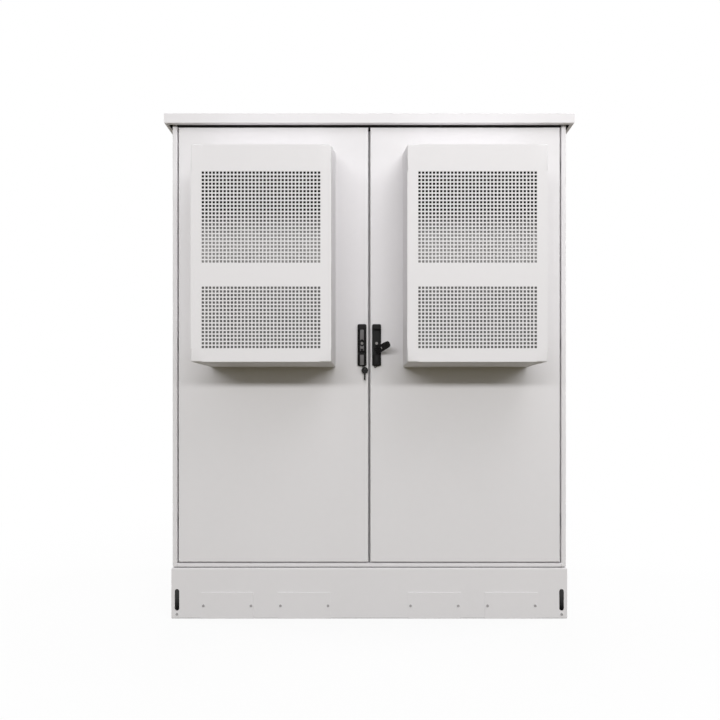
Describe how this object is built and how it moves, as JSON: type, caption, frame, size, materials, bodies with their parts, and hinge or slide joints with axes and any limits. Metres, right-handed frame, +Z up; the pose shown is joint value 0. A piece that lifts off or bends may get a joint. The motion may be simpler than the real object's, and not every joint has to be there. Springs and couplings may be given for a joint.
{
  "type": "roadside utility cabinet",
  "caption": "Tall grey sheet-metal roadside cabinet with inset hinged doors, each with a perforated cooling hood and a black swing handle, on a plinth under an overhanging roof.",
  "frame": {"origin": "centre of the plinth's footprint and of its anchor holes, on the ground", "axes": "+Z up, -Y towards the doors' outer faces, +X to the viewer's right when facing the doors"},
  "size_m": [1.6, 1.097, 1.978],
  "materials": {
    "cabinet_paint": "light grey powder coat, semi-matt",
    "zinc_coated_steel": "zinc-coated sheet",
    "bright_steel": "plated steel",
    "black_casting": "black coated die casting",
    "seal_rubber": "foam rubber",
    "core_aluminium": "mill finish",
    "fan_plastic": "glass-filled plastic",
    "filter_fibre": "grey fibre mat",
    "copper": "bare copper"
  },
  "bodies": {
    "cabinet": {"plinth_frame": "cabinet_paint", "plinth_covers": "cabinet_paint", "plinth_screws": "bright_steel", "base_seal": "seal_rubber", "floor_panel": "zinc_coated_steel", "gland_plates": "zinc_coated_steel", "left_side_panel": "cabinet_paint", "right_side_panel": "cabinet_paint", "front_header": "cabinet_paint", "front_sill": "cabinet_paint", "centre_post": "cabinet_paint", "bay_divider": "zinc_coated_steel", "ceiling_panel": "cabinet_paint", "back_panels": "cabinet_paint", "roof_cap": "cabinet_paint", "left_bay_rails": "zinc_coated_steel", "right_bay_rails": "zinc_coated_steel", "earth_bar": "copper", "left_hinge_brackets": "bright_steel", "right_hinge_brackets": "bright_steel"},
    "left_door": {"left_door_panel": "cabinet_paint", "left_door_seal": "seal_rubber", "left_hinge_leaves": "bright_steel", "left_hood": "cabinet_paint", "left_screens": "cabinet_paint", "left_filter_mats": "filter_fibre", "left_cooler_case": "zinc_coated_steel", "left_cooler_core": "core_aluminium", "left_fan_frames": "fan_plastic", "left_handle_base": "black_casting", "left_lock_case": "bright_steel", "key_set": "black_casting"},
    "left_handle": {"left_spindle": "black_casting", "left_lever_pin": "bright_steel"},
    "left_lever": {"left_lever": "black_casting"},
    "left_plug": {"left_lock_plug": "bright_steel"},
    "left_upper_rod": {"left_upper_rod": "bright_steel"},
    "left_lower_rod": {"left_lower_rod": "bright_steel"},
    "left_front_fan": {"left_front_fan": "fan_plastic"},
    "left_rear_fan": {"left_rear_fan": "fan_plastic"},
    "right_door": {"right_door_panel": "cabinet_paint", "right_door_seal": "seal_rubber", "right_hinge_leaves": "bright_steel", "right_hood": "cabinet_paint", "right_screens": "cabinet_paint", "right_filter_mats": "filter_fibre", "right_cooler_case": "zinc_coated_steel", "right_cooler_core": "core_aluminium", "right_fan_frames": "fan_plastic", "right_handle_base": "black_casting", "right_lock_case": "bright_steel"},
    "right_handle": {"right_spindle": "black_casting", "right_lever_pin": "bright_steel"},
    "right_lever": {"right_lever": "black_casting"},
    "right_plug": {"right_lock_plug": "bright_steel"},
    "right_upper_rod": {"right_upper_rod": "bright_steel"},
    "right_lower_rod": {"right_lower_rod": "bright_steel"},
    "right_front_fan": {"right_front_fan": "fan_plastic"},
    "right_rear_fan": {"right_rear_fan": "fan_plastic"}
  },
  "joints": [
    {"name": "left_door_swing", "type": "hinge", "parent": "cabinet", "child": "left_door", "pos_m": [-0.735, -0.389, 1.078], "axis": [0, 0, -1], "range_deg": [0, 110]},
    {"name": "left_handle_turn", "type": "hinge", "parent": "left_door", "child": "left_handle", "pos_m": [-0.0287, -0.401, 1.053], "axis": [0, -1, 0], "range_deg": [0, 90]},
    {"name": "left_lever_lift", "type": "hinge", "parent": "left_handle", "child": "left_lever", "pos_m": [-0.0287, -0.417, 1.053], "axis": [1, 0, 0], "range_deg": [0, 60]},
    {"name": "left_plug_turn", "type": "hinge", "parent": "left_door", "child": "left_plug", "pos_m": [-0.0287, -0.401, 1.0825], "axis": [0, -1, 0], "range_deg": [0, 90]},
    {"name": "left_upper_rod_slide", "type": "slide", "parent": "left_door", "child": "left_upper_rod", "axis": [0, 0, -1], "range_m": [0, 0.0166]},
    {"name": "left_lower_rod_slide", "type": "slide", "parent": "left_door", "child": "left_lower_rod", "axis": [0, 0, 1], "range_m": [0, 0.0166]},
    {"name": "left_front_fan_spin", "type": "hinge", "parent": "left_door", "child": "left_front_fan", "pos_m": [-0.3775, -0.581, 1.49325], "axis": [0, -1, 0], "continuous": true},
    {"name": "left_rear_fan_spin", "type": "hinge", "parent": "left_door", "child": "left_rear_fan", "pos_m": [-0.3775, -0.371, 1.1752], "axis": [0, 1, 0], "continuous": true},
    {"name": "right_door_swing", "type": "hinge", "parent": "cabinet", "child": "right_door", "pos_m": [0.735, -0.389, 1.078], "axis": [0, 0, 1], "range_deg": [0, 110]},
    {"name": "right_handle_turn", "type": "hinge", "parent": "right_door", "child": "right_handle", "pos_m": [0.0287, -0.401, 1.053], "axis": [0, 1, 0], "range_deg": [-66, 24]},
    {"name": "right_lever_lift", "type": "hinge", "parent": "right_handle", "child": "right_lever", "pos_m": [0.0287, -0.417, 1.053], "axis": [0.4067, 0, -0.9135], "range_deg": [-52, 8]},
    {"name": "right_plug_turn", "type": "hinge", "parent": "right_door", "child": "right_plug", "pos_m": [0.0287, -0.401, 1.0825], "axis": [0, 1, 0], "range_deg": [0, 90]},
    {"name": "right_upper_rod_slide", "type": "slide", "parent": "right_door", "child": "right_upper_rod", "axis": [0, 0, -1], "range_m": [-0.0122, 0.0045]},
    {"name": "right_lower_rod_slide", "type": "slide", "parent": "right_door", "child": "right_lower_rod", "axis": [0, 0, 1], "range_m": [-0.0122, 0.0045]},
    {"name": "right_front_fan_spin", "type": "hinge", "parent": "right_door", "child": "right_front_fan", "pos_m": [0.3775, -0.581, 1.49325], "axis": [0, -1, 0], "continuous": true},
    {"name": "right_rear_fan_spin", "type": "hinge", "parent": "right_door", "child": "right_rear_fan", "pos_m": [0.3775, -0.371, 1.1752], "axis": [0, 1, 0], "continuous": true}
  ],
  "couplings": [
    {"joint": "left_upper_rod_slide", "follows": "left_handle_turn", "m_per_rad": 0.0105},
    {"joint": "left_lower_rod_slide", "follows": "left_handle_turn", "m_per_rad": 0.0105},
    {"joint": "right_upper_rod_slide", "follows": "right_handle_turn", "m_per_rad": 0.0105},
    {"joint": "right_lower_rod_slide", "follows": "right_handle_turn", "m_per_rad": 0.0105}
  ]
}
